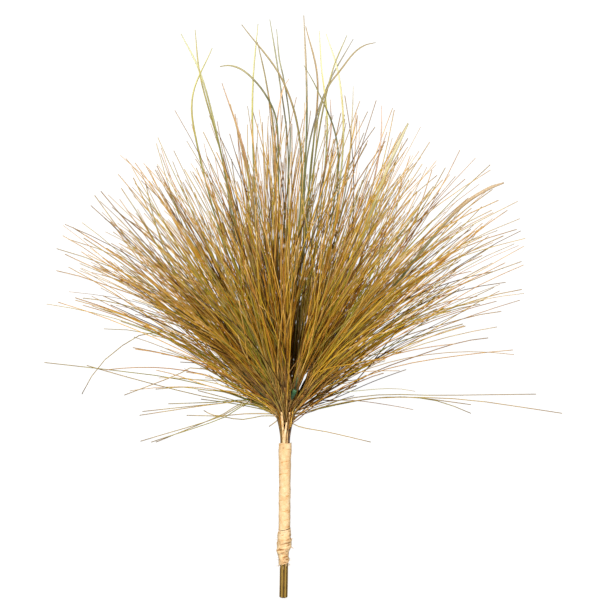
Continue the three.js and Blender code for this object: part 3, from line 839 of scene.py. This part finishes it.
LEAVES = [
    # CAD node, heading, climb, half width in mm, colour, tip colour, route in mm
    ("tall_leaf_01", -32, 18, 0.95, "#A69E67", "#B3B081",
     [(-66, 271, 74), (-88, 355, 84), (-107, 393, 80)]),
    ("tall_leaf_02", -27, 37, 0.95, "#978A40", "#A9A15B",
     [(-88, 271, 120), (-94, 326, 128), (-74, 376, 122)]),
    ("tall_leaf_03", -14, 37, 1.2, "#A47C4F", "#AD8A64", [(-42, 271, 130), (-64, 340, 132)]),
    ("tall_leaf_04", -9, 18, 0.95, "#504D25", "#948A5B", [
        (-7, 271, 84), (-10, 308, 90), (-19, 328, 92), (-31, 344, 91), (-45, 356, 89),
        (-57, 360, 86), (-67, 359, 84),
    ]),
    ("tall_leaf_05", -2, 37, 1, "#7B6638", "#8D7D53",
     [(16, 271, 140), (-2, 341, 148), (-44, 399, 136)]),
    ("tall_leaf_06", -20, 18, 0.95, "#A9A04E", "#B9B279",
     [(-33, 271, 70), (-33, 346, 76), (-28, 404, 66)]),
    ("tall_leaf_07", -16, -4, 0.86, "#7B6935", "#96885C",
     [(-10, 271, 40), (-20, 346, 42), (-29, 387, 32)]),
    ("tall_leaf_08", -5, -4, 0.75, "#5A4E2C", "#8E8A62",
     [(3, 271, 60), (-7, 353, 62), (-16, 409, 54)]),
    ("tall_leaf_09", 2, 18, 0.95, "#5A5A2C", "#9C8A68",
     [(21, 271, 88), (22, 331, 94), (19, 411, 92)]),
    ("tall_leaf_10", 6, -4, 0.95, "#8C6F3D", "#9D865C",
     [(28, 271, 44), (33, 350, 44), (21, 403, 34)]),
    ("tall_leaf_11", 13, 18, 0.86, "#BCB164", "#C5BD86",
     [(43, 292, 78), (37, 360, 80), (35, 396, 72)]),
    ("tall_leaf_12", 24, 18, 0.95, "#C7B976", "#CBC294",
     [(59, 271, 66), (55, 350, 66), (42, 394, 58)]),
    ("tall_leaf_13", 17, -4, 0.86, "#71664F", "#857C65",
     [(23, 271, 58), (43, 339, 62), (70, 389, 56)]),
    ("tall_leaf_14", 15, 37, 0.86, "#867241", "#96865F", [
        (29, 282, 126), (43, 335, 127), (56, 353, 126), (71, 372, 122), (81, 379, 118),
        (92, 382, 112),
    ]),
    ("broad_leaf_1", 35, 18, 1.7, "#AFA06A", "#B4AA84",
     [(86, 205, 78), (107, 260, 82), (126, 301, 76)]),
    ("broad_leaf_2", 46, 18, 1.75, "#A68A62", "#B59C7A",
     [(176, 212, 90), (208, 234, 88), (224, 240, 84)]),
]
MORE_LEAVES = [
    # heading, climb, half width in mm, colour, tip colour, route in mm
    (-24, 24, 0.8, "#7D7231", "#A2975A", [(-66, 271, 96), (-87, 350, 104), (-92, 396, 100)]),
    (-12, 10, 0.7, "#5A5430", "#8E8A62",
     [(5, 280, 60), (4, 310, 62), (-2, 349, 62), (-6, 367, 61), (-9, 399, 58)]),
    (8, 30, 0.8, "#796B2E", "#9E945C", [(33, 282, 110), (48, 353, 112), (63, 390, 104)]),
    (14, 24, 0.8, "#534F25", "#7D7846", [(54, 272, 96), (33, 334, 98), (19, 360, 94)]),
    (17, 12, 0.7, "#9F8856", "#B4A57F", [(62, 234, 60), (69, 312, 58), (70, 340, 54)]),
    (22, 14, 0.8, "#AF886B", "#BFA28D", [(86, 224, 66), (98, 283, 68), (99, 320, 62)]),
    (35, 40, 0.9, "#BF8F33", "#CCAB58", [(97, 139, 120), (133, 177, 124)]),
    (-5, 28, 0.6, "#B4824E", "#C09A6C",
     [(-11, 240, 70), (-10, 288, 76), (-2, 337, 78), (4, 347, 76)]),
    (10, 6, 0.7, "#A06C40", "#B48C68",
     [(30, 200, 60), (44, 273, 84), (47, 297, 88), (46, 325, 90)]),
]
grown = [(f"long_{node}", [node], *leaf) for node, *leaf in LEAVES]
grown += [(f"long_extra_leaf_{i}", (), *leaf) for i, leaf in enumerate(MORE_LEAVES, 1)]
for number, (name, nodes, heading, climb, width, colour, tip, route) in enumerate(grown, 1):
    strip = leaf_blade(leaf_route(heading, climb, route), width * MM, dice.uniform(-0.9, 0.9))
    material = leaf_material(f"thin_moulded_leaf_{number:02d}", colour, tip)
    make_piece(name, strip, [material], nodes)

# ---------------------------------------------------------------- drooping blades
# A few blades of the same grass grow out sideways below the fan and droop onto the table, and
# some come up from between the branch stems.
DROOPING = [
    # CAD node it stands for, shade, route in mm: across and along from the crown, and height
    ("drooping_blade_1", 0.97,
     [(14, 2, 33), (41, 10, 31), (89, 18, 26), (131, 19, 17), (191, 16, 6), (288, 2, 1)]),
    ("", 1.0,
     [(13, 3, 35), (40, 12, 36), (65, 18, 33), (102, 22, 26), (153, 21, 13), (261, 22, 1)]),
    ("", 0.68, [(13, 2, 32), (42, 9, 29), (91, 18, 22), (130, 19, 13), (162, 14, 5), (193, 2, 1)]),
    ("", 1.0, [(13, 2, 31), (41, 9, 28), (90, 18, 21), (130, 19, 12), (193, 11, 1)]),
    ("drooping_blade_2", 0.97, [(5, -6, 33), (14, -11, 30), (44, -17, 20), (89, -28, 1)]),
    ("drooping_blade_3", 1.0, [(-14, 3, 34), (-40, 13, 31), (-65, 0, 20), (-151, -27, 1)]),
    ("", 0.68, [(-13, 3, 33), (-38, 13, 32), (-62, -1, 19), (-140, -28, 1)]),
    ("", 1.0, [(-13, 2, 32), (-41, 14, 30), (-66, 1, 18), (-135, -28, 1)]),
    ("", 0.97, [(-13, 4, 36), (-39, 15, 34), (-66, 13, 24), (-152, 0, 1)]),
    ("", 1.0, [(-13, 4, 35), (-39, 15, 32), (-66, 13, 22), (-149, 4, 1)]),
    ("", 0.68, [(-13, 5, 36), (-36, 16, 33), (-71, 14, 17), (-122, 12, 1)]),
    ("", 1.0, [(-12, 0, 31), (-24, 0, 27), (-45, -4, 17), (-68, -1, 8), (-103, 0, 1)]),
    ("", 0.97, [(-12, 2, 30), (-40, 2, 18), (-74, 0, 6), (-85, 5, 2)]),
    ("", 1.0, [(-12, 5, 33), (-45, 14, 26), (-91, 26, 12)]),
    ("", 0.68, [(-12, 4, 32), (-50, 12, 22), (-88, 17, 7)]),
    ("", 1.0, [(-12, 6, 34), (-48, 14, 27), (-85, 20, 18), (-165, 40, 5), (-207, 52, 1)]),
    ("", 0.97, [(-11, 8, 36), (-58, 40, 38), (-97, 50, 30), (-111, 43, 22), (-168, 21, 1)]),
    ("", 1.0,
     [(-10, 10, 38), (-90, 78, 60), (-138, 87, 56), (-162, 77, 44), (-194, 51, 20),
      (-212, 22, 2)]),
    ("", 0.1, [(3, -9, 38), (12, -4, 40), (24, 6, 42), (45, 22, 36), (84, 42, 22)]),
    ("", 0.97, [(-3, 4, 39), (-8, -4, 34), (-17, -11, 27)]),
    ("", 0.15, [(4, -14, 39), (5, 0, 44), (9, 40, 56), (14, 92, 66)]),
    ("", 0.88, [(5, -12, 38), (7, 1, 43), (16, 38, 54), (34, 84, 60)]),
    ("", 0.05, [(2, -15, 40), (3, -2, 44), (2, 36, 58), (-6, 88, 70)]),
    ("", 0.2, [(-4, -13, 38), (-6, 0, 42), (-16, 34, 54), (-40, 78, 60)]),
    ("drooping_blade_4", 0.68,
     [(-13, 5, 33), (-50, 22, 27), (-112, 38, 16), (-180, 47, 5), (-251, 55, 1)]),
]
DROOPING_HALF_WIDTH = 0.56 * MM
DROOPING_ROLL = 0.2
ROOT_SHARE = 0.3  # each starts that far out towards the first point of its route
ROOT_DROP = 3  # mm below the middle of the crown
for number, (node, shade, route) in enumerate(DROOPING, 1):
    bm = new_tuft()
    across, along, _ = route[0]
    foot = crown + Vector((across * ROOT_SHARE, along * ROOT_SHARE, -ROOT_DROP)) * MM
    add_blade(bm, route_from([foot], route), DROOPING_HALF_WIDTH, DROOPING_ROLL, shade)
    make_piece(f"long_drooping_blade_{number:02d}", bm, [grass], [node] if node else ())

# ---------------------------------------------------------------- table, light and camera
# The bundle lies on a white light table under two wide soft lights and is looked at from straight
# above. The table's own colour is dark, because nearly all its light comes from inside it.
PALE = 0.06
GLOW = 0.96
GLOW_BELOW = 0.35
TABLE_SIZE = 30
ROOM_LIGHT = 0.2
CAMERA_HEIGHT = 5.0
VIEW_WIDTH = 0.6205  # metres seen from side to side at the height of the crown
VIEW_MIDDLE = (15.1, 120.0)  # mm right of the crown and along from it
SENSOR = 36.0

bm = bmesh.new()
bmesh.ops.create_grid(bm, x_segments=1, y_segments=1, size=TABLE_SIZE / 2)
table_mesh = bpy.data.meshes.new("table_top")
bm.to_mesh(table_mesh)
bm.free()
table_top = bpy.data.objects.new("table_top", table_mesh)
bpy.context.scene.collection.objects.link(table_top)
# Lit acrylic: an even white to look at, and a softer light from below on the grass
white, shader = new_material("lit_white_acrylic")
looked_at = add_node(white, "ShaderNodeLightPath")
glow = add_node(white, "ShaderNodeMapRange", Value=(looked_at, "Is Camera Ray"),
                To_Min=GLOW_BELOW, To_Max=GLOW)
connect(white, shader, Base_Color=(PALE, PALE, PALE, 1), Roughness=0.9,
        Emission_Color=(1, 1, 1, 1), Emission_Strength=(glow, 0))
table_mesh.materials.append(white)

world = bpy.data.worlds.new("studio")
world.use_nodes = True
background = world.node_tree.nodes["Background"]
background.inputs["Color"].default_value = (1, 1, 1, 1)
background.inputs["Strength"].default_value = ROOM_LIGHT
bpy.context.scene.world = world


def soft_light(name, location, size, power):
    """A square softbox, metres wide and in watts, turned towards the origin."""
    lamp = bpy.data.lights.new(name, "AREA")
    lamp.shape = "SQUARE"
    lamp.size = size
    lamp.energy = power
    holder = bpy.data.objects.new(name, lamp)
    holder.location = location
    holder.rotation_euler = (-Vector(location)).to_track_quat("-Z", "Y").to_euler()
    bpy.context.scene.collection.objects.link(holder)


soft_light("key_softbox", (-0.7, 0.8, 2.5), 0.6, 110)
soft_light("fill_softbox", (1.4, -0.6, 2.0), 1.4, 34)

camera_data = bpy.data.cameras.new("camera")
camera_data.sensor_width = SENSOR
camera_data.lens = SENSOR * (CAMERA_HEIGHT - CROWN_HEIGHT) / VIEW_WIDTH
camera = bpy.data.objects.new("camera", camera_data)
camera.location = (
    crown.x + VIEW_MIDDLE[0] * MM, crown.y + VIEW_MIDDLE[1] * MM, CAMERA_HEIGHT)
bpy.context.scene.collection.objects.link(camera)
bpy.context.scene.camera = camera
bpy.context.scene.view_settings.view_transform = "Standard"
